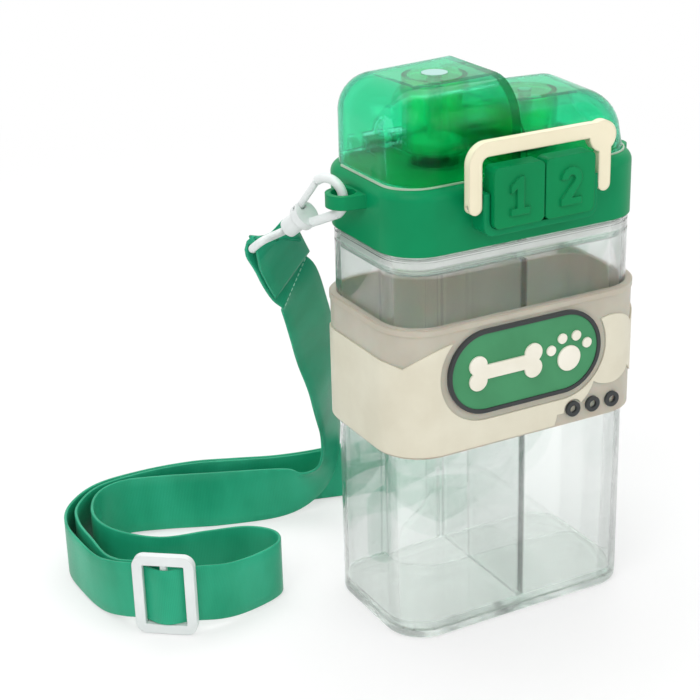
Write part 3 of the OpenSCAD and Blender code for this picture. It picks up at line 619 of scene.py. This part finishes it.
def add_stitches(points, widths, run_at, name):
    """A row of sewn stitches across the webbing, at a point of its route."""
    bm = bmesh.new()
    place = section_frame(points, widths, run_at)
    for k in range(STITCHES):
        new = bmesh.ops.create_uvsphere(bm, u_segments=8, v_segments=5, radius=0.5)["verts"]
        bmesh.ops.scale(bm, vec=(1.7 * MM, 0.45 * MM, 0.5 * MM), verts=new)
        across = (k + 0.5) / STITCHES * (STRAP_WIDTH - 2 * MM) - (STRAP_WIDTH / 2 - MM)
        bmesh.ops.translate(bm, vec=(across, -STRAP_THICKNESS / 2 - 0.02 * MM, 0), verts=new)
        bmesh.ops.transform(bm, matrix=place, verts=new)
    stitches = finish_mesh(bm, name, THREAD)
    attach(stitches, "lid")


STITCHES = 10
TAIL_SEAM_AT = 8.57
LIP = moulded_plastic("pale_lip", srgb("#B3C6B1"), srgb("#A7BBA5"), 0.35, edge=0.1)
THREAD = rubber("sewing_thread", srgb("#9FE0C8"), srgb("#86D3B6"), 0.5, edge=0.1)
add_cover_line()
tail_points, tail_widths = smooth_route(TAIL_ROUTE + HANGING_ROUTE)
add_stitches(tail_points, tail_widths, round(TAIL_SEAM_AT * STEPS_PER_STATION), "tail_seam")


# ---------------------------------------------------------------- studio

FLOOR_SIZE = 6.0
FLOOR_DROP = 0.0002


def bright_rays(tree):
    """Picks out the rays that see the backdrop: straight, through clear plastic and in gloss."""
    path = tree.nodes.new("ShaderNodeLightPath")
    seen = path.outputs["Is Camera Ray"]
    for kind in ("Is Transmission Ray", "Is Glossy Ray"):
        either = add_node(tree, "ShaderNodeMath", operation="MAXIMUM")
        tree.links.new(seen, either.inputs[0])
        tree.links.new(path.outputs[kind], either.inputs[1])
        seen = either.outputs[0]
    return either


def add_floor():
    material, tree, output = new_material("studio_floor")
    body = tree.nodes.new("ShaderNodeBsdfPrincipled")
    body.inputs["Base Color"].default_value = (0.94, 0.94, 0.94, 1)
    body.inputs["Roughness"].default_value = 0.9
    white = add_node(tree, "ShaderNodeEmission", Strength=1.0)
    seen = bright_rays(tree)
    share = tree.nodes.new("ShaderNodeMath")
    share.operation = "MULTIPLY"
    place = tree.nodes.new("ShaderNodeTexCoord")
    reach = add_node(tree, "ShaderNodeVectorMath", operation="LENGTH")
    link(tree, place, "Object", reach, "Vector")
    whiter = value_between(tree, reach, "Value", 0.55, 1.0)
    whiter.inputs["From Min"].default_value = 0.22
    whiter.inputs["From Max"].default_value = 0.8
    tree.links.new(whiter.outputs["Result"], share.inputs[1])
    tree.links.new(seen.outputs[0], share.inputs[0])
    mix = tree.nodes.new("ShaderNodeMixShader")
    tree.links.new(share.outputs[0], mix.inputs[0])
    tree.links.new(body.outputs[0], mix.inputs[1])
    tree.links.new(white.outputs[0], mix.inputs[2])
    tree.links.new(mix.outputs[0], output.inputs["Surface"])
    bm = bmesh.new()
    bmesh.ops.create_grid(bm, x_segments=1, y_segments=1, size=FLOOR_SIZE / 2)
    bmesh.ops.translate(bm, vec=(0, 0, -FLOOR_DROP), verts=bm.verts)
    floor = finish_mesh(bm, "studio_floor", material, smooth=False)


def add_lamp(name, at, aim, size, power):
    data = bpy.data.lights.new(name, "AREA")
    data.shape = "RECTANGLE"
    data.size, data.size_y = size
    data.energy = power
    lamp = bpy.data.objects.new(name, data)
    bpy.context.scene.collection.objects.link(lamp)
    way = (Vector(at) - Vector(aim)).to_track_quat("Z", "Y")
    lamp.matrix_world = Matrix.Translation(at) @ way.to_matrix().to_4x4()


def add_world():
    world = bpy.data.worlds.new("studio")
    bpy.context.scene.world = world
    world.use_nodes = True
    tree = world.node_tree
    tree.nodes.clear()
    output = tree.nodes.new("ShaderNodeOutputWorld")
    soft = add_node(tree, "ShaderNodeBackground", Strength=0.55)
    soft.inputs["Color"].default_value = (1, 1, 1, 1)
    white = add_node(tree, "ShaderNodeBackground", Strength=1.0)
    white.inputs["Color"].default_value = (1, 1, 1, 1)
    seen = bright_rays(tree)
    mix = tree.nodes.new("ShaderNodeMixShader")
    tree.links.new(seen.outputs[0], mix.inputs[0])
    tree.links.new(soft.outputs[0], mix.inputs[1])
    tree.links.new(white.outputs[0], mix.inputs[2])
    tree.links.new(mix.outputs[0], output.inputs["Surface"])


add_floor()
add_world()
MIDDLE = (0.0, 0.0, 0.11)
add_lamp("key", (-0.75, -0.55, 1.15), MIDDLE, (0.9, 0.9), 7.6)
add_lamp("front_fill", (0.75, -1.15, 0.75), MIDDLE, (0.9, 0.9), 4.2)
add_lamp("top", (0.1, 0.45, 1.35), MIDDLE, (1.2, 0.8), 9.0)

scene = bpy.context.scene
scene.view_settings.view_transform = "Standard"
